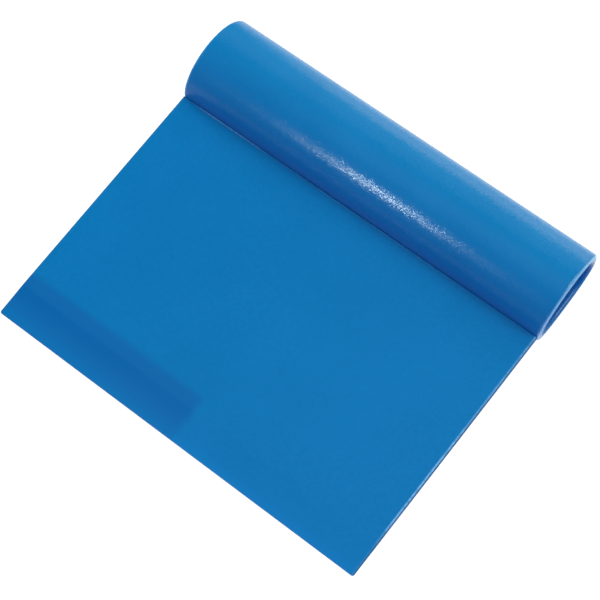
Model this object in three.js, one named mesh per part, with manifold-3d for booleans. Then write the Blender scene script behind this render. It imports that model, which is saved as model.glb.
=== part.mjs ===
// Plastic dough scraper: a flat scraping blade plugged into a hollow oval grip.
// Millimetres. The tool lies on a bench, +Z up: X runs along the grip, the scraping
// edge is towards -Y and the grip is at the back, towards +Y.
import * as THREE from 'three';
import { mergeVertices } from 'three/addons/utils/BufferGeometryUtils.js';
import Module from 'manifold-3d';

// ---- driving dimensions -------------------------------------------------------------
// The pieces are drawn flat first: blade mid-plane at z = 0, front of the grip at y = 0.

// grip: an oval tube, higher above the blade than below it
const GRIP_LENGTH = 152.0;       // end to end, along X
const GRIP_HALF_WIDTH = 17.86;   // half of the oval across the tool
const GRIP_CENTRE_Y = 17.86;     // middle of the oval behind the crease
const GRIP_WIDEST_Z = 0.5;       // height of the oval's widest line
const GRIP_RISE = 15.96;         // from the widest line to the top
const GRIP_DROP = 11.5;          // from the widest line to the underside
const GRIP_POWER_TOP = 2.0;      // 2 is a true half ellipse
const GRIP_POWER_LOW = 2.5;      // slightly squarer below
const WALL = 3.2;                // wall of the tube
const RIM_RADIUS = 1.4;          // rounding of the rims, outside and inside
const SECTION_POINTS = 64;
const RIM_STEPS = 4;

// blade
const ROOT_WIDTH = 151.2;        // along X, at the crease
const EDGE_WIDTH = 148.44;       // along X, at the scraping edge: the sides have a little draft
const BLADE_REACH = 101.05;      // from the crease to the scraping edge
const ROOT_THICKNESS = 2.5;      // at the crease
const EDGE_THICKNESS = 2.2;      // where the ground-off edge zone starts
const TIP_THICKNESS = 0.7;       // at the scraping edge itself
const BEVEL_LENGTH = 12.0;       // width of the edge zone, both faces thinning alike
const CORNER_RADIUS = 0.8;       // the two corners of the scraping edge
const ROOT_FILLET = 0.4;         // fillets between blade and grip

// tongue and slot that join them
const TONGUE_LENGTH_X = 132.0;   // the slot stops well short of the grip's ends
const TONGUE_THICKNESS = 1.6;
const BARB_HEIGHT = 1.8;         // top of the snap barb, behind the grip's front wall
const BARB_LENGTH = 2.4;
const BARB_NOSE = 0.4;           // top of the barb's nose
const CLEARANCE = 0.3;           // between the two pieces all round

// ---- helpers ------------------------------------------------------------------------
const wasm = await Module();
wasm.setup();

function toSolid(geometry) {
  const g = geometry.clone();
  g.deleteAttribute('normal');
  g.deleteAttribute('uv');
  const m = mergeVertices(g, 1e-4);
  return new wasm.Manifold(new wasm.Mesh({
    numProp: 3,
    vertProperties: new Float32Array(m.attributes.position.array),
    triVerts: new Uint32Array(m.index.array),
  }));
}

function toGeometry(solid) {
  const m = solid.getMesh();
  const g = new THREE.BufferGeometry();
  g.setAttribute('position', new THREE.BufferAttribute(new Float32Array(m.vertProperties), 3));
  g.setIndex(new THREE.BufferAttribute(new Uint32Array(m.triVerts), 1));
  g.computeVertexNormals();
  return g;
}

// a profile drawn in (y, z) becomes a bar along X, centred on x = 0
const PROFILE_TO_X = new THREE.Matrix4().makeBasis(
  new THREE.Vector3(0, 1, 0), new THREE.Vector3(0, 0, 1), new THREE.Vector3(1, 0, 0));

function barAlongX(shape, length, bevel = {}) {
  const rim = bevel.radius ?? 0;
  const g = new THREE.ExtrudeGeometry(shape, {
    depth: length - 2 * rim,
    steps: 1,
    bevelEnabled: rim > 0,
    bevelThickness: rim,
    bevelSize: rim,
    bevelOffset: -rim,
    bevelSegments: bevel.steps ?? 1,
  });
  g.translate(0, 0, -(length - 2 * rim) / 2);
  return g.applyMatrix4(PROFILE_TO_X);
}

// ---- grip section -------------------------------------------------------------------
function oval(inset, count) {
  const points = [];
  for (let i = 0; i < count; i++) {
    const a = (2 * Math.PI * i) / count;
    const c = Math.cos(a), s = Math.sin(a);
    const power = 2 / (s >= 0 ? GRIP_POWER_TOP : GRIP_POWER_LOW);
    const height = (s >= 0 ? GRIP_RISE : GRIP_DROP) - inset;
    points.push(new THREE.Vector2(
      GRIP_CENTRE_Y + (GRIP_HALF_WIDTH - inset) * Math.sign(c) * Math.abs(c) ** power,
      GRIP_WIDEST_Z + height * Math.sign(s) * Math.abs(s) ** power));
  }
  return points;
}

// y of the grip's front surface at a height z
function gripFront(z) {
  const up = z >= GRIP_WIDEST_Z;
  const n = up ? GRIP_POWER_TOP : GRIP_POWER_LOW;
  const u = Math.abs(z - GRIP_WIDEST_Z) / (up ? GRIP_RISE : GRIP_DROP);
  return GRIP_CENTRE_Y - GRIP_HALF_WIDTH * (1 - u ** n) ** (1 / n);
}

// ---- handle -------------------------------------------------------------------------
const tube = new THREE.Shape(oval(0, SECTION_POINTS));
tube.holes.push(new THREE.Path(oval(WALL, SECTION_POINTS).reverse()));
const tubeSolid = toSolid(barAlongX(tube, GRIP_LENGTH, { radius: RIM_RADIUS, steps: RIM_STEPS }));

const slotHeight = TONGUE_THICKNESS + 2 * CLEARANCE;
const slotCut = new THREE.BoxGeometry(TONGUE_LENGTH_X + 2 * CLEARANCE, WALL + 4, slotHeight);
slotCut.translate(0, (WALL + 4) / 2 - 2, 0);
const handleSolid = tubeSolid.subtract(toSolid(slotCut));

// ---- blade --------------------------------------------------------------------------
// half thickness of the plate at a distance y from the crease
function halfThickness(y) {
  const bevelStart = -BLADE_REACH + BEVEL_LENGTH;
  if (y <= bevelStart) {
    return (TIP_THICKNESS + (EDGE_THICKNESS - TIP_THICKNESS) * (y + BLADE_REACH) / BEVEL_LENGTH) / 2;
  }
  const t = (y - bevelStart) / (-bevelStart);
  return (EDGE_THICKNESS + (ROOT_THICKNESS - EDGE_THICKNESS) * t) / 2;
}

const SEAT = -(CLEARANCE + 0.1);        // the root stands this far off the grip's front
const upper = [];
upper.push([-BLADE_REACH, halfThickness(-BLADE_REACH)]);
upper.push([-BLADE_REACH + BEVEL_LENGTH, halfThickness(-BLADE_REACH + BEVEL_LENGTH)]);
const filletStart = SEAT - ROOT_FILLET;
for (let i = 0; i <= 5; i++) {
  const a = (i / 5) * (Math.PI / 2);
  upper.push([filletStart + ROOT_FILLET * Math.sin(a),
    halfThickness(filletStart) + ROOT_FILLET * (1 - Math.cos(a))]);
}
const rootHeight = halfThickness(filletStart) + ROOT_FILLET;

const plate = new THREE.Shape();
plate.moveTo(upper[0][0], -upper[0][1]);
for (const [y, h] of upper.slice(1, -1)) plate.lineTo(y, -h);
// the root's back face follows the grip's front
for (let i = 0; i <= 8; i++) {
  const z = -rootHeight + (2 * rootHeight * i) / 8;
  plate.lineTo(SEAT + gripFront(z), z);
}
for (const [y, h] of upper.slice(0, -1).reverse()) plate.lineTo(y, h);
plate.closePath();

// plan view: sides with draft, two rounded corners at the scraping edge
const plan = new THREE.Shape();
const draft = Math.atan2((ROOT_WIDTH - EDGE_WIDTH) / 2, BLADE_REACH);
const side = (y) => EDGE_WIDTH / 2 + Math.tan(draft) * (y + BLADE_REACH);
// centre of the corner arc: CORNER_RADIUS away from the side and from the edge
const cornerY = -BLADE_REACH + CORNER_RADIUS;
const cornerX = side(cornerY) - CORNER_RADIUS / Math.cos(draft);
plan.moveTo(-side(12), 12);
plan.absarc(-cornerX, cornerY, CORNER_RADIUS, Math.PI + draft, 1.5 * Math.PI, false);
plan.absarc(cornerX, cornerY, CORNER_RADIUS, 1.5 * Math.PI, 2 * Math.PI - draft, false);
plan.lineTo(side(12), 12);
plan.closePath();
const planBlock = new THREE.ExtrudeGeometry(plan, { depth: 30, bevelEnabled: false, curveSegments: 6 });
planBlock.translate(0, 0, -15);

const plateSolid = toSolid(barAlongX(plate, ROOT_WIDTH + 10)).intersect(toSolid(planBlock));

// tongue through the slot, with a snap barb along its upper side behind the wall
const wallBack = WALL + CLEARANCE + 0.1;
const tongue = new THREE.Shape();
tongue.moveTo(-1.2, -TONGUE_THICKNESS / 2);
tongue.lineTo(wallBack + BARB_LENGTH - 0.3, -TONGUE_THICKNESS / 2);
tongue.lineTo(wallBack + BARB_LENGTH, -TONGUE_THICKNESS / 2 + 0.3);
tongue.lineTo(wallBack + BARB_LENGTH, BARB_NOSE);
tongue.lineTo(wallBack, BARB_HEIGHT);
tongue.lineTo(wallBack, TONGUE_THICKNESS / 2);
tongue.lineTo(-1.2, TONGUE_THICKNESS / 2);
tongue.closePath();
const bladeSolid = plateSolid.add(toSolid(barAlongX(tongue, TONGUE_LENGTH_X)));

// ---- scene graph --------------------------------------------------------------------
const handle = new THREE.Mesh(toGeometry(handleSolid),
  new THREE.MeshStandardMaterial({ color: 0x1768ac, roughness: 0.42, metalness: 0 }));
handle.name = 'handle';

const blade = new THREE.Mesh(toGeometry(bladeSolid),
  new THREE.MeshStandardMaterial({ color: 0x1674b4, roughness: 0.5, metalness: 0 }));
blade.name = 'blade';

// lying on a bench the tool rests on the grip's underside and on the scraping edge
const low = oval(0, 2048);
function heights(angle) {
  const s = Math.sin(angle), c = Math.cos(angle);
  const grip = Math.min(...low.map((p) => p.x * s + p.y * c));
  const edge = Math.min(
    -BLADE_REACH * s - (TIP_THICKNESS / 2) * c,
    -(BLADE_REACH - BEVEL_LENGTH) * s - (EDGE_THICKNESS / 2) * c);
  return { grip, edge };
}
let flat = 0, steep = 0.2;
for (let i = 0; i < 50; i++) {
  const middle = (flat + steep) / 2;
  const h = heights(middle);
  if (h.edge > h.grip) flat = middle; else steep = middle;
}

const tool = new THREE.Group();
tool.name = 'dough_scraper';
tool.add(handle, blade);
tool.rotation.x = (flat + steep) / 2;
tool.updateMatrixWorld(true);

// origin: middle of the footprint, on the bench
const box = new THREE.Box3().setFromObject(tool, true);
tool.position.set(0, -(box.min.y + box.max.y) / 2, -box.min.z);
tool.updateMatrixWorld(true);

export default tool;
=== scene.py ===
import math

import bmesh
import bpy
import numpy as np
from mathutils import Matrix, Vector


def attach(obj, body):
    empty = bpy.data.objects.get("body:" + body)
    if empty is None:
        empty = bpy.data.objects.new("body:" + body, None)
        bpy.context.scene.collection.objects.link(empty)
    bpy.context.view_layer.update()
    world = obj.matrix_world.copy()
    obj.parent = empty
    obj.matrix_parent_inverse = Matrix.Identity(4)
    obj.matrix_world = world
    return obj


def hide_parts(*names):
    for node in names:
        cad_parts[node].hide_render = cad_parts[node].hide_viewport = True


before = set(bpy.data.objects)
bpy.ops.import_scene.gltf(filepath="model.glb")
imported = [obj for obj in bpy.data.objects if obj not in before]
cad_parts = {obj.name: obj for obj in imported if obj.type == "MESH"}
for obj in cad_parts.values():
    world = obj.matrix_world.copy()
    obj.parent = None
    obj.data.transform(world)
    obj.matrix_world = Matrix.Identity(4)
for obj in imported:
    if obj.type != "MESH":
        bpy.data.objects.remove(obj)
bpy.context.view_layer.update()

# ------------------------------------------------------------------------------------
# The tool is drawn flat, in millimetres (blade mid-plane z = 0, crease y = 0), and then
# laid on the bench: turned about X and moved, as the CAD pieces are.
# ------------------------------------------------------------------------------------
TILT = 0.09154747081636494
LIFT = np.array([0.0, 32.51935436068523, 9.58649013962074])
COS, SIN = math.cos(TILT), math.sin(TILT)
LAY = np.array([[1, 0, 0], [0, COS, -SIN], [0, SIN, COS]])


def lay(points):
    return (np.asarray(points, float) @ LAY.T + LIFT) * 0.001


def turn(direction):
    return LAY @ np.asarray(direction, float)


# grip
GRIP_LENGTH = 152.0
HALF_W, MID_Y, WIDE_Z = 17.86, 17.86, 0.5
RISE, DROP = 15.96, 11.5
N_TOP, N_LOW = 2.0, 2.5
WALL = 3.2
RIM_OUT, RIM_IN = 1.4, 1.4           # roundings of the flat end faces
# blade
ROOT_W, EDGE_W = 75.6, 74.22          # half widths: the sides have a little draft
REACH = 101.05
EDGE_ZONE = 12.0
T_ROOT, T_EDGE, T_TIP = 2.5, 2.2, 0.7
CORNER = 0.8
FILLET = 0.4
SEAM, SEAT, SEAT_Z = 0.2, 0.03, 0.95  # open line at the crease, gap and half height of the seat behind it
ARRIS = 0.5
# tongue and slot
TONGUE_X, TONGUE_T = 66.0, 0.8
SLOT_X, SLOT_T = 66.3, 1.1
BARB_Y, BARB_LEN, BARB_TOP, BARB_NOSE = 3.6, 2.4, 1.8, 0.4


def oval_point(a, inset):
    c, s = math.cos(a), math.sin(a)
    n, h = (N_TOP, RISE - inset) if s >= 0 else (N_LOW, DROP - inset)
    return (MID_Y + (HALF_W - inset) * math.copysign(abs(c) ** (2 / n), c),
            WIDE_Z + h * math.copysign(abs(s) ** (2 / n), s))


def grip_front(z):
    n, h = (N_TOP, RISE) if z >= WIDE_Z else (N_LOW, DROP)
    u = abs(z - WIDE_Z) / h
    return MID_Y - HALF_W * (1 - u ** n) ** (1 / n)


def make_object(name, verts, faces, pale_and_highlight, bore_shade=None, sharp_deg=40.0):
    mesh = bpy.data.meshes.new(name)
    mesh.from_pydata([tuple(v) for v in lay(verts)], [], [tuple(f) for f in faces])
    edge = mesh.attributes.new("edge_pale_and_highlight", "FLOAT", "POINT")
    edge.data.foreach_set("value", [float(w) for w in pale_and_highlight])
    if bore_shade is not None:
        inner = mesh.attributes.new("bore_shade", "FLOAT", "POINT")
        inner.data.foreach_set("value", [float(w) for w in bore_shade])
    bm = bmesh.new()
    bm.from_mesh(mesh)
    bmesh.ops.delete(bm, geom=[v for v in bm.verts if not v.link_faces], context="VERTS")
    bmesh.ops.recalc_face_normals(bm, faces=bm.faces[:])
    bm.to_mesh(mesh)
    bm.free()
    mesh.polygons.foreach_set("use_smooth", [True] * len(mesh.polygons))
    mesh.set_sharp_from_angle(angle=math.radians(sharp_deg))
    mesh.validate()
    mesh.update()
    obj = bpy.data.objects.new(name, mesh)
    bpy.context.scene.collection.objects.link(obj)
    return obj


# ------------------------------------------------------------------------------------
# grip: oval tube, flat end faces with rounded rims, slot for the blade's tongue
# ------------------------------------------------------------------------------------
def build_grip():
    n_round, n_slot = 176, 4

    def angles(inset):
        up = math.pi - math.asin((SLOT_T - WIDE_Z) / (RISE - inset))
        low = math.pi + math.asin(((SLOT_T + WIDE_Z) / (DROP - inset)) ** (N_LOW / 2))
        around = np.linspace(up, low - 2 * math.pi, n_round + 1)       # over the back
        across = np.linspace(low - 2 * math.pi, up - 2 * math.pi, n_slot + 1)[1:-1]
        return np.concatenate([around, across])

    outer = np.array([oval_point(a, 0.0) for a in angles(0.0)])
    inner = np.array([oval_point(a, WALL) for a in angles(WALL)])
    count = len(outer)
    slot_cells = range(n_round, count)                  # cells between the slot's lips

    end = GRIP_LENGTH / 2
    inside = np.linspace(-SLOT_X, SLOT_X, 25)
    lengths = np.concatenate([[-(end - RIM_OUT), -72.0, -69.0], inside, [69.0, 72.0, end - RIM_OUT]])
    stations = [(x, 0.0) for x in lengths]
    rim = []                                            # (distance behind the end face, depth into the wall)
    for th in np.linspace(0, math.pi / 2, 11)[1:]:
        rim.append((RIM_OUT * (1 - math.sin(th)), RIM_OUT * (1 - math.cos(th)) / WALL))
    rim.append((0.0, 0.5))
    for th in np.linspace(math.pi / 2, 0, 7)[:-1]:
        rim.append((RIM_IN * (1 - math.sin(th)), 1 - RIM_IN * (1 - math.cos(th)) / WALL))
    stations += [(end - back, t) for back, t in rim]
    stations += [(x, 1.0) for x in lengths[::-1]]
    stations += [(-end + back, t) for back, t in rim[::-1]]

    verts, faces, pale_and_highlight, bore_shade = [], [], [], []
    for x, t in stations:
        ring = outer * (1 - t) + inner * t
        verts += [(x, y, z) for y, z in ring]
        # painted highlight: the rims are painted paler on their outer rounding, fully at the +X end and a quarter as
        # much at the other
        depth = t * WALL / RIM_OUT
        pale = 0.0 if t == 0.0 else max(0.0, 1.0 - abs(depth - 0.45) / 0.38)
        pale_and_highlight += [pale if x > 0 else 0.25 * pale] * count
        bore_shade += [min(max((t - 0.55) / 0.4, 0.0), 1.0)] * count
    rings = len(stations)
    n_len = len(lengths)
    first_in, last_in = 3, n_len - 4                    # stations at -SLOT_X and +SLOT_X

    def v(j, i):
        return (j % rings) * count + i % count

    n_rim = len(rim)
    inner_start = n_len + n_rim
    for j in range(rings):
        on_outer = first_in <= j < last_in
        k = j - inner_start
        on_inner = 0 <= k < n_len and first_in <= k < last_in
        for i in range(count):
            if (on_outer or on_inner) and i in slot_cells:
                continue
            faces.append((v(j, i), v(j + 1, i), v(j + 1, i + 1), v(j, i + 1)))
    # walls of the slot
    lip_low, lip_up = n_round, count                    # lip_up is index 0 again

    def inner_j(j):
        return inner_start + (n_len - 1 - j)
    for j in range(first_in, last_in):
        for lip in (lip_low, lip_up):
            faces.append((v(j, lip), v(j + 1, lip), v(inner_j(j + 1), lip), v(inner_j(j), lip)))
    for j in (first_in, last_in):
        for i in slot_cells:
            faces.append((v(j, i), v(j, i + 1), v(inner_j(j), i + 1), v(inner_j(j), i)))
    return make_object("grip_tube", verts, faces, pale_and_highlight, bore_shade)


# ------------------------------------------------------------------------------------
# blade: plate with a thinned edge zone, rounded arrises and corners, root fillets,
# tongue with a snap barb
# ------------------------------------------------------------------------------------
def half_thickness(y):
    start = -REACH + EDGE_ZONE
    if y <= start:
        return 0.5 * (T_TIP + (T_EDGE - T_TIP) * (y + REACH) / EDGE_ZONE)
    return 0.5 * (T_EDGE + (T_ROOT - T_EDGE) * (y - start) / -start)


def half_width(y):
    side = EDGE_W + (ROOT_W - EDGE_W) * (min(y, 0.0) + REACH) / REACH
    d = (-REACH + CORNER) - y
    if d <= 0:
        return side
    return side - CORNER + math.sqrt(max(CORNER ** 2 - d ** 2, 0.0))


def fillet_arc(side, steps):
    """Points of the root fillet, from the plate to the grip's front (side is +1 or -1)."""
    zs = np.linspace(0.0, 6.0, 1201) * side
    curve = np.array([(grip_front(z) - SEAM, z) for z in zs])
    lo, hi = -6.0, 0.0
    for _ in range(60):
        y = 0.5 * (lo + hi)
        h = half_thickness(y)
        d = np.hypot(curve[:, 0] - y, curve[:, 1] - side * (h + FILLET)).min()
        if d > FILLET:
            lo = y
        else:
            hi = y
    y = 0.5 * (lo + hi)
    zc = side * (half_thickness(y) + FILLET)
    touch = curve[np.hypot(curve[:, 0] - y, curve[:, 1] - zc).argmin()]
    a0 = math.atan2(-side, 0.0)
    a1 = math.atan2(touch[1] - zc, touch[0] - y)
    return [(y + FILLET * math.cos(a), zc + FILLET * math.sin(a))
            for a in np.linspace(a0, a1, steps)]


def build_blade():
    tip_r = 0.26
    ys = set()
    for th in np.linspace(0, math.pi / 2, 6):
        ys.add(round(-REACH + tip_r * (1 - math.cos(th)), 5))
    for ps in np.linspace(0, math.pi / 2, 13)[1:]:
        ys.add(round(-REACH + CORNER - CORNER * math.cos(ps), 5))
    bevel_y = -REACH + EDGE_ZONE
    for y in (-98.0, -96.0, -94.0, -92.0, bevel_y - 0.35, bevel_y - 0.1, bevel_y + 0.1, bevel_y + 0.35, -86.0):
        ys.add(y)
    for y in np.linspace(-83.0, -4.0, 20):
        ys.add(float(y))
    ys.add(-2.4)
    ys = sorted(ys)

    steps = 9
    arc_up, arc_low = fillet_arc(1, steps), fillet_arc(-1, steps)
    rows = []                     # ((y, z) top, (y, z) bottom, half width, arris radius)
    for y in ys:
        h = half_thickness(y)
        if abs(y - bevel_y) < 0.5:
            # a very small radius where the edge zone starts
            h = np.interp(y, [bevel_y - 0.35, bevel_y + 0.35],
                          [half_thickness(bevel_y - 0.35), half_thickness(bevel_y + 0.35)]) * 0.25 + h * 0.75
        d = y + REACH
        if d < tip_r:
            h = h - tip_r + math.sqrt(max(tip_r ** 2 - (tip_r - d) ** 2, 0.0))
        r = min(ARRIS, 0.8 * h)
        rows.append(((y, h), (y, -h), half_width(y), r))
    for up, low in zip(arc_up, arc_low):
        rows.append((up, low, half_width(up[0]), ARRIS))

    n_top, n_arc, n_side = 60, 6, 4
    fr = np.linspace(-1, 1, n_top + 1)
    verts, faces, pale_and_highlight = [], [], []
    last = len(rows) - 1
    for k, ((yt, zt), (yb, zb), w, r) in enumerate(rows):
        loop = []
        # top, left to right
        for f in fr:
            loop.append((f * (w - r), zt))
        for a in np.linspace(0, math.pi / 2, n_arc + 1)[1:]:
            loop.append((w - r + r * math.sin(a), zt - r + r * math.cos(a)))
        for s in np.linspace(0, 1, n_side + 1)[1:-1]:
            loop.append((w, (zt - r) * (1 - s) + (zb + r) * s))
        for a in np.linspace(math.pi / 2, 0, n_arc + 1):
            loop.append((w - r + r * math.sin(a), zb + r - r * math.cos(a)))
        for f in fr[::-1][1:]:
            loop.append((f * (w - r), zb))
        for a in np.linspace(0, math.pi / 2, n_arc + 1)[1:]:
            loop.append((-(w - r) - r * math.sin(a), zb + r - r * math.cos(a)))
        for s in np.linspace(0, 1, n_side + 1)[1:-1]:
            loop.append((-w, (zb + r) * (1 - s) + (zt - r) * s))
        for a in np.linspace(math.pi / 2, 0, n_arc + 1)[:-1]:
            loop.append((-(w - r) - r * math.sin(a), zt - r + r * math.cos(a)))
        for x, z in loop:
            s = 0.0 if abs(zt - zb) < 1e-9 else (zt - z) / (zt - zb)
            y = yt * (1 - s) + yb * s
            if k == last:
                y = grip_front(z) - SEAM
            verts.append((x, y, z))
            # a stretch of the crease is paler on the fillet
            stretch = min(max((x + 71.0) / 6.0, 0.0), 1.0) * min(max((-36.0 - x) / 14.0, 0.0), 1.0)
            pale_and_highlight.append(0.48 * stretch if z > 0 and last - steps + 2 <= k < last - 1 else 0.0)
    count = len(loop)
    # behind the open line the root's back face comes up to the grip
    for x, z in loop:
        z = math.copysign(min(abs(z), SEAT_Z), z)
        verts.append((x * 0.998, grip_front(z) - SEAT, z))
        pale_and_highlight.append(0.0)
    for k in range(last + 1):
        for i in range(count):
            a, b = k * count + i, k * count + (i + 1) % count
            faces.append((a, b, b + count, a + count))
    faces.append(tuple(range(count))[::-1])                       # scraping edge

    # tongue and barb: a bar along X, open towards the root's back face
    profile = [(grip_front(TONGUE_T) - SEAT, TONGUE_T), (BARB_Y, TONGUE_T), (BARB_Y, BARB_TOP),
               (BARB_Y + 0.25, BARB_TOP), (BARB_Y + BARB_LEN, BARB_NOSE), (BARB_Y + BARB_LEN, -TONGUE_T + 0.3),
               (BARB_Y + BARB_LEN - 0.3, -TONGUE_T), (grip_front(-TONGUE_T) - SEAT, -TONGUE_T)]
    base = len(verts)
    xs = np.linspace(-TONGUE_X, TONGUE_X, 23)
    m = len(profile)
    for x in xs:
        verts += [(x, y, z) for y, z in profile]
        pale_and_highlight += [0.0] * m
    for j in range(len(xs) - 1):
        for i in range(m - 1):
            a = base + j * m + i
            faces.append((a, a + 1, a + 1 + m, a + m))
    faces.append(tuple(base + i for i in range(m)))
    faces.append(tuple(base + (len(xs) - 1) * m + i for i in range(m))[::-1])

    # back face of the root, around the tongue
    mesh = bpy.data.meshes.new("tmp")
    mesh.from_pydata(verts, [], faces)
    bm = bmesh.new()
    bm.from_mesh(mesh)
    bpy.data.meshes.remove(mesh)
    rim = [e for e in bm.edges if len(e.link_faces) == 1]
    bmesh.ops.triangle_fill(bm, edges=rim, use_beauty=True, use_dissolve=False)
    bm.verts.ensure_lookup_table()
    bm.verts.index_update()
    all_verts = [tuple(v.co) for v in bm.verts]
    all_faces = [tuple(v.index for v in f.verts) for f in bm.faces]
    bm.free()
    return make_object("blade_plate", all_verts, all_faces, pale_and_highlight)


grip = build_grip()
blade = build_blade()


# ------------------------------------------------------------------------------------
# materials: satin blue plastic; the grip carries a fine eroded grain that glitters
# ------------------------------------------------------------------------------------
class Nodes:
    """A node tree with a few short cuts; lengths are metres in the object's own frame."""

    def __init__(self, name):
        self.mat = bpy.data.materials.new(name)
        self.mat.use_nodes = True
        self.tree = self.mat.node_tree
        self.tree.nodes.clear()
        out = self.new("ShaderNodeOutputMaterial")
        self.bsdf = self.new("ShaderNodeBsdfPrincipled")
        self.link(self.bsdf.outputs["BSDF"], out.inputs["Surface"])
        self.co = self.new("ShaderNodeTexCoord").outputs["Object"]

    def new(self, kind, **values):
        node = self.tree.nodes.new(kind)
        for key, value in values.items():
            setattr(node, key, value)
        return node

    def link(self, a, b):
        self.tree.links.new(a, b)

    def noise(self, scale, detail=2.0, roughness=0.5, vector=None):
        n = self.new("ShaderNodeTexNoise")
        n.inputs["Scale"].default_value = scale
        n.inputs["Detail"].default_value = detail
        n.inputs["Roughness"].default_value = roughness
        self.link(vector or self.co, n.inputs["Vector"])
        return n.outputs["Fac"]

    def cells(self, scale):
        n = self.new("ShaderNodeTexVoronoi", feature="F1")
        n.inputs["Scale"].default_value = scale
        self.link(self.co, n.inputs["Vector"])
        return n

    def attribute(self, name):
        return self.new("ShaderNodeAttribute", attribute_name=name).outputs["Fac"]

    def remap(self, value, a, b, lo, hi, smooth=False):
        n = self.new("ShaderNodeMapRange")
        if smooth:
            n.interpolation_type = "SMOOTHSTEP"
        for key, v in zip(("From Min", "From Max", "To Min", "To Max"), (a, b, lo, hi)):
            n.inputs[key].default_value = v
        self.link(value, n.inputs["Value"])
        return n.outputs["Result"]

    def math(self, op, a, b):
        n = self.new("ShaderNodeMath", operation=op)
        for socket, v in zip(n.inputs, (a, b)):
            if isinstance(v, (int, float)):
                socket.default_value = v
            else:
                self.link(v, socket)
        return n.outputs["Value"]

    def vector(self, op, a, b=None, scale=None):
        n = self.new("ShaderNodeVectorMath", operation=op)
        for socket, v in zip(n.inputs, (a, b)):
            if v is None:
                continue
            if isinstance(v, tuple):
                socket.default_value = v
            else:
                self.link(v, socket)
        if isinstance(scale, (int, float)):
            n.inputs["Scale"].default_value = scale
        elif scale is not None:
            self.link(scale, n.inputs["Scale"])
        return n.outputs["Vector"]

    def ramp(self, value, stops):
        n = self.new("ShaderNodeValToRGB")
        e = n.color_ramp.elements
        while len(e) < len(stops):
            e.new(0.5)
        for k, (pos, colour) in enumerate(stops):
            e[k].position = pos
            e[k].color = (*colour, 1)
        self.link(value, n.inputs["Fac"])
        return n.outputs["Color"]

    def mix(self, fac, a, b):
        n = self.new("ShaderNodeMix", data_type="RGBA")
        self.link(fac, n.inputs["Factor"])
        for socket, v in ((n.inputs[6], a), (n.inputs[7], b)):
            if isinstance(v, tuple):
                socket.default_value = (*v, 1)
            else:
                self.link(v, socket)
        return n.outputs[2]

    def bump(self, height, distance, strength, normal=None):
        n = self.new("ShaderNodeBump")
        n.inputs["Strength"].default_value = strength
        n.inputs["Distance"].default_value = distance
        self.link(height, n.inputs["Height"])
        if normal is not None:
            self.link(normal, n.inputs["Normal"])
        return n.outputs["Normal"]

    def finish(self, colour, rough, normal, specular):
        self.link(colour, self.bsdf.inputs["Base Color"])
        self.link(rough, self.bsdf.inputs["Roughness"])
        self.link(normal, self.bsdf.inputs["Normal"])
        self.bsdf.inputs["IOR"].default_value = 1.49
        self.bsdf.inputs["Specular IOR Level"].default_value = specular
        return self.mat


GRIP_BLUES = (0.0030, 0.155, 0.384), (0.0036, 0.161, 0.395), (0.0044, 0.167, 0.406)
BLADE_BLUES = (0.0008, 0.146, 0.374), (0.0010, 0.151, 0.385), (0.0014, 0.156, 0.396)

FIELD = (0.0008, 0.110, 0.335)
FIELD_HAZE = (0.0028, 0.110, 0.331)
# painted highlight on the grip's rims and along one blade arris; it also makes the paler stretch of the crease
EDGE_PALE_AND_HIGHLIGHT = (0.180, 0.500, 0.800)
# painted shade inside the tube, near its mouths
BORE_SHADE = (0.0020, 0.100, 0.320)
FIELD_Y = float(lay([(0.0, -83.6, 1.1)])[0][1])
TIP = (0.0014, 0.164, 0.424)
TIP_Y = float(lay([(0.0, -REACH, 0.3)])[0][1])
ROOT_Y = float(lay([(0.0, 0.0, 1.2)])[0][1])
# painted shade on the blade's sides
SIDE_SHADE = (0.0008, 0.075, 0.200)
LOW = (0.0090, 0.158, 0.392)
LOW_Y = float(lay([(0.0, 0.1, 2.2)])[0][1])


def grip_plastic():
    n = Nodes("grip_plastic_look")
    colour = n.ramp(n.noise(38.0, 3.0), list(zip((0.28, 0.5, 0.72), GRIP_BLUES)))
    # a trace of violet low on the front, over the crease
    at = n.new("ShaderNodeSeparateXYZ")
    n.link(n.co, at.inputs["Vector"])
    colour = n.mix(n.remap(at.outputs["Y"], LOW_Y + 0.0001, LOW_Y + 0.0010, 1.0, 0.0, smooth=True), colour, LOW)
    # painted highlight: the rims' pale band, broken up by noise
    pale_and_highlight = n.math("MULTIPLY", n.attribute("edge_pale_and_highlight"), n.remap(n.noise(420.0), 0.3, 0.6, 0.7, 1.0))
    colour = n.mix(pale_and_highlight, colour, EDGE_PALE_AND_HIGHLIGHT)
    # painted shade: the bore is painted darker near its mouths, where shade falls inside the tube; it is also a
    # little rougher there
    bore_shade = n.math("MULTIPLY", n.attribute("bore_shade"),
                  n.remap(n.math("ABSOLUTE", at.outputs["X"], 0.0), 0.050, 0.062, 0.0, 1.0, smooth=True))
    colour = n.mix(bore_shade, colour, BORE_SHADE)
    rough = n.math("ADD", n.remap(n.noise(160.0), 0.3, 0.7, 0.20, 0.23), n.math("MULTIPLY", bore_shade, 0.02))
    # eroded grain: small facets, each leaning its own way, and a few that lean far
    grain = n.cells(3200.0)
    lean = n.vector("SUBTRACT", grain.outputs["Color"], (0.5, 0.5, 0.5))
    pick = n.new("ShaderNodeSeparateXYZ")
    n.link(grain.outputs["Color"], pick.inputs["Vector"])
    lean = n.vector("SCALE", lean, scale=n.remap(pick.outputs["X"], 0.965, 0.975, 1.0, 1.5))
    facets = n.vector("NORMALIZE", n.vector("ADD", n.new("ShaderNodeNewGeometry").outputs["Normal"],
                                            n.vector("MULTIPLY", lean, (0.06, 0.145, 0.145))))
    normal = n.bump(n.noise(2200.0, 2.0, 0.5), 0.000008, 0.3, facets)
    return n.finish(colour, rough, normal, 0.16)


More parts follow.
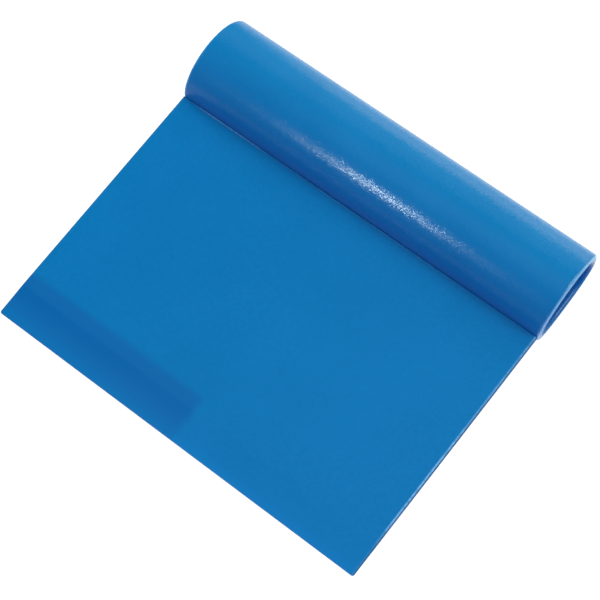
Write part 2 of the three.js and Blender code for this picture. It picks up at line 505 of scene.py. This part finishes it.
def blade_plastic():
    n = Nodes("blade_plastic_look")
    colour = n.ramp(n.noise(30.0, 3.0), list(zip((0.28, 0.5, 0.72), BLADE_BLUES)))
    colour = n.vector("SCALE", colour, scale=n.remap(n.noise(700.0, 2.0, 0.6), 0.25, 0.75, 0.95, 1.05))
    # a darker, smoother field along one half of the scraping edge, with soft borders
    at = n.new("ShaderNodeSeparateXYZ")
    n.link(n.co, at.inputs["Vector"])
    across = n.remap(at.outputs["X"], -0.0018, 0.0018, 1.0, 0.0, smooth=True)
    along = n.remap(at.outputs["Y"], FIELD_Y - 0.0020, FIELD_Y + 0.0018, 1.0, 0.0, smooth=True)
    fade = n.remap(at.outputs["Y"], FIELD_Y - 0.018, FIELD_Y - 0.008, 0.62, 1.0)
    facing = n.new("ShaderNodeSeparateXYZ")
    n.link(n.new("ShaderNodeNewGeometry").outputs["Normal"], facing.inputs["Vector"])
    upper = n.remap(facing.outputs["Z"], 0.0, 0.3, 0.0, 1.0)
    field = n.math("MULTIPLY", n.math("MULTIPLY", n.math("MULTIPLY", across, along), fade), upper)
    # it is deepest just past the line where the edge zone starts, and hazier on both sides of that
    ledge = n.remap(at.outputs["Y"], FIELD_Y - 0.0054, FIELD_Y - 0.0047, 0.0, 1.0, smooth=True)
    field = n.math("MULTIPLY", field, n.math("SUBTRACT", 1.0, n.math("MULTIPLY", ledge, 0.17)))
    haze = n.math("ADD", ledge, n.remap(at.outputs["Y"], FIELD_Y - 0.0125, FIELD_Y - 0.0075, 1.0, 0.0))
    colour = n.mix(field, colour, n.mix(haze, FIELD, FIELD_HAZE))
    # paler towards the scraping edge, and on a stretch of the crease
    tip = n.math("ADD", n.remap(at.outputs["Y"], TIP_Y + 0.001, TIP_Y + 0.010, 0.3, 0.0, smooth=True),
                 n.math("MULTIPLY", n.remap(at.outputs["Y"], TIP_Y + 0.0012, TIP_Y + 0.0036, 0.65, 0.0, smooth=True),
                        n.remap(field, 0.0, 0.6, 1.0, 0.25)))
    colour = n.mix(tip, colour, TIP)
    # painted shade: the sides are darker, as they stand in shade; painted highlight: one upper arris is paler, most
    # of all along its middle
    half = n.remap(at.outputs["Y"], TIP_Y, ROOT_Y, EDGE_W * 0.001, ROOT_W * 0.001)
    inset = n.math("SUBTRACT", half, n.math("ABSOLUTE", at.outputs["X"], 0.0))
    colour = n.mix(n.remap(inset, 0.0001, 0.0005, 1.0, 0.0, smooth=True), colour, SIDE_SHADE)
    inset = n.math("SUBTRACT", half, at.outputs["X"])
    line = n.math("MULTIPLY", n.remap(inset, 0.0002, 0.0005, 0.0, 1.0, smooth=True),
                  n.remap(inset, 0.0007, 0.0011, 1.0, 0.0, smooth=True))
    middle = n.math("MULTIPLY", n.remap(at.outputs["Y"], TIP_Y + 0.010, TIP_Y + 0.024, 0.12, 1.0, smooth=True),
                    n.remap(at.outputs["Y"], TIP_Y + 0.052, TIP_Y + 0.064, 1.0, 0.55, smooth=True))
    # painted highlight along the upper arris, mixed with the paler stretch of the crease
    pale_and_highlight = n.math("MULTIPLY", n.math("ADD", n.attribute("edge_pale_and_highlight"), n.math("MULTIPLY", n.math("MULTIPLY", line, middle), upper)),
                  n.remap(n.noise(900.0), 0.35, 0.6, 0.35, 0.8))
    colour = n.mix(pale_and_highlight, colour, EDGE_PALE_AND_HIGHLIGHT)
    rough = n.math("SUBTRACT", n.remap(n.noise(120.0), 0.3, 0.7, 0.33, 0.38), n.math("MULTIPLY", field, 0.03))
    normal = n.bump(n.noise(1100.0, 3.0, 0.6), 0.00001, 0.3)
    return n.finish(colour, rough, normal, 0.12)


grip.data.materials.append(grip_plastic())
blade.data.materials.append(blade_plastic())

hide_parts("handle")
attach(grip, "root")
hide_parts("blade")
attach(blade, "root")


# ------------------------------------------------------------------------------------
# floor, light, camera
# ------------------------------------------------------------------------------------
def sheet(name, height, base, glow, seen, bounce):
    """A plain sheet under the tool; seen by the camera, or only by bounced light."""
    mesh = bpy.data.meshes.new(name)
    w = 3.0
    mesh.from_pydata([(-w, -w, height), (w, -w, height), (w, w, height), (-w, w, height)], [], [(0, 1, 2, 3)])
    return stage_object(name, mesh, base, glow, seen, bounce)


def stage_object(name, mesh, base, glow, seen, bounce):
    obj = bpy.data.objects.new(name, mesh)
    bpy.context.scene.collection.objects.link(obj)
    mat = bpy.data.materials.new(name + "_white")
    mat.use_nodes = True
    b = mat.node_tree.nodes["Principled BSDF"]
    b.inputs["Base Color"].default_value = (base, base, base, 1)
    b.inputs["Roughness"].default_value = 0.9
    b.inputs["Specular IOR Level"].default_value = 0.0
    b.inputs["Emission Color"].default_value = (1, 1, 1, 1)
    if isinstance(glow, tuple):
        # a lit sheet whose glow changes with the distance from the tool
        tree = mat.node_tree
        co = tree.nodes.new("ShaderNodeTexCoord")
        far = tree.nodes.new("ShaderNodeVectorMath")
        far.operation = "LENGTH"
        tree.links.new(co.outputs["Object"], far.inputs[0])
        fade = tree.nodes.new("ShaderNodeMapRange")
        fade.interpolation_type = "SMOOTHSTEP"
        for key, v in zip(("From Min", "From Max", "To Min", "To Max"), glow):
            fade.inputs[key].default_value = v
        tree.links.new(far.outputs["Value"], fade.inputs["Value"])
        tree.links.new(fade.outputs["Result"], b.inputs["Emission Strength"])
    else:
        b.inputs["Emission Strength"].default_value = glow
    mat.cycles.emission_sampling = "NONE"
    mesh.materials.append(mat)
    obj.visible_camera = seen
    obj.visible_diffuse = obj.visible_glossy = obj.visible_transmission = obj.visible_shadow = bounce
    return obj


def dome(name, radius):
    """White surround for the camera only."""
    mesh = bpy.data.meshes.new(name)
    bm = bmesh.new()
    bmesh.ops.create_uvsphere(bm, u_segments=48, v_segments=24, radius=radius)
    bm.to_mesh(mesh)
    bm.free()
    return stage_object(name, mesh, 0.02, 1.0, True, False)


sheet("floor", 0.0, 0.35, (0.25, 1.1, 0.85, 1.0), True, False)
sheet("floor_bounce", -0.0005, 0.45, (0.22, 0.6, 0.72, 0.1), False, True)
dome("surround", 2.9)


def softbox(name, azimuth, elevation, distance, size, power, aim=(0.0, 0.0, 0.005), colour=(1, 1, 1)):
    az, el = math.radians(azimuth), math.radians(elevation)
    d = Vector((math.cos(el) * math.cos(az), math.cos(el) * math.sin(az), math.sin(el)))
    data = bpy.data.lights.new(name, "AREA")
    data.shape = "RECTANGLE"
    data.size, data.size_y = size
    data.energy = power
    data.color = colour
    obj = bpy.data.objects.new(name, data)
    obj.location = Vector(aim) + d * distance
    obj.rotation_euler = d.to_track_quat("Z", "Y").to_euler()
    obj.visible_camera = False
    bpy.context.scene.collection.objects.link(obj)
    return obj


softbox("key_right", 27, 48, 1.3, (0.6, 0.5), 9.6)
softbox("side_left", 165, 20, 1.3, (0.5, 0.45), 9.5).visible_glossy = False
softbox("fill_left", 198, 42, 1.3, (0.5, 0.45), 4.6).visible_glossy = False
softbox("fill_front", 288, 17, 1.3, (0.5, 0.45), 3.6, colour=(2.20, 0.66, 1.58)).visible_glossy = False
softbox("backdrop", 76, 11, 1.3, (1.7, 0.5), 6.5, colour=(1.08, 0.99, 0.86))
softbox("backdrop_high", 105, 40, 1.3, (1.7, 0.7), 2.2)
softbox("backdrop_soft", 105, 40, 1.36, (1.7, 0.7), 3.05, colour=(0.9, 1.25, 0.98)).visible_glossy = False
softbox("overhead", 0, 90, 1.3, (0.8, 0.8), 1.4, colour=(0.95, 1.12, 1.0))
# a tall card at the right that only shows in the gloss of rims and edges
card = softbox("gloss_right", 15, 34, 1.3, (0.9, 0.9), 9.0)
card.visible_diffuse = False
# and a dim wide one in front, for the even sheen low on the grip
card = softbox("gloss_front", 264, 45, 1.3, (1.8, 2.4), 1.2)
card.visible_diffuse = False

# small lamp over the blade: its mirror image is the glitter along the grip
spark = bpy.data.lights.new("spark", "AREA")
spark.shape = "DISK"
spark.size = 0.016
spark.energy = 0.70
spark.color = (0.8, 0.94, 0.98)
spark_at = lay([(7.0 - 0.230 * 380, 7.5 - 0.739 * 380, 13.5 + 0.634 * 380)])[0]
spark_dir = Vector(turn((-0.230, -0.739, 0.634)))
spark_obj = bpy.data.objects.new("spark", spark)
spark_obj.location = spark_at
spark_obj.rotation_euler = spark_dir.to_track_quat("Z", "Y").to_euler()
spark_obj.visible_camera = False
spark_obj.visible_diffuse = False
bpy.context.scene.collection.objects.link(spark_obj)

world = bpy.data.worlds.new("studio")
bpy.context.scene.world = world
world.use_nodes = True
bg = world.node_tree.nodes["Background"]
bg.inputs["Color"].default_value = (1, 1, 1, 1)
bg.inputs["Strength"].default_value = 0.12

# camera from the photograph's perspective
EYE = np.array([126.00543, -184.38385, 497.34195])
AIM = np.array([4.01344, -36.54476, 0.0])
ROLL = -0.65114
FOCAL_PX = 1579.0031541864932
fwd = (AIM - EYE) / np.linalg.norm(AIM - EYE)
up0 = np.array([math.sin(ROLL), math.cos(ROLL), 0.0])
right = np.cross(fwd, up0)
right /= np.linalg.norm(right)
up = np.cross(right, fwd)
cam_data = bpy.data.cameras.new("camera")
cam_data.sensor_fit = "HORIZONTAL"
cam_data.sensor_width = 36.0
cam_data.lens = FOCAL_PX / 600.0 * 36.0
cam_data.clip_start, cam_data.clip_end = 0.01, 50.0
cam = bpy.data.objects.new("camera", cam_data)
r, u, b = turn(right), turn(up), turn(-fwd)
place = lay([EYE])[0]
cam.matrix_world = Matrix(((r[0], u[0], b[0], place[0]), (r[1], u[1], b[1], place[1]),
                           (r[2], u[2], b[2], place[2]), (0, 0, 0, 1)))
bpy.context.scene.collection.objects.link(cam)
bpy.context.scene.camera = cam

vs = bpy.context.scene.view_settings
vs.view_transform = "Standard"
vs.look = "None"
vs.exposure = 0.0
vs.gamma = 1.0

bpy.context.view_layer.update()
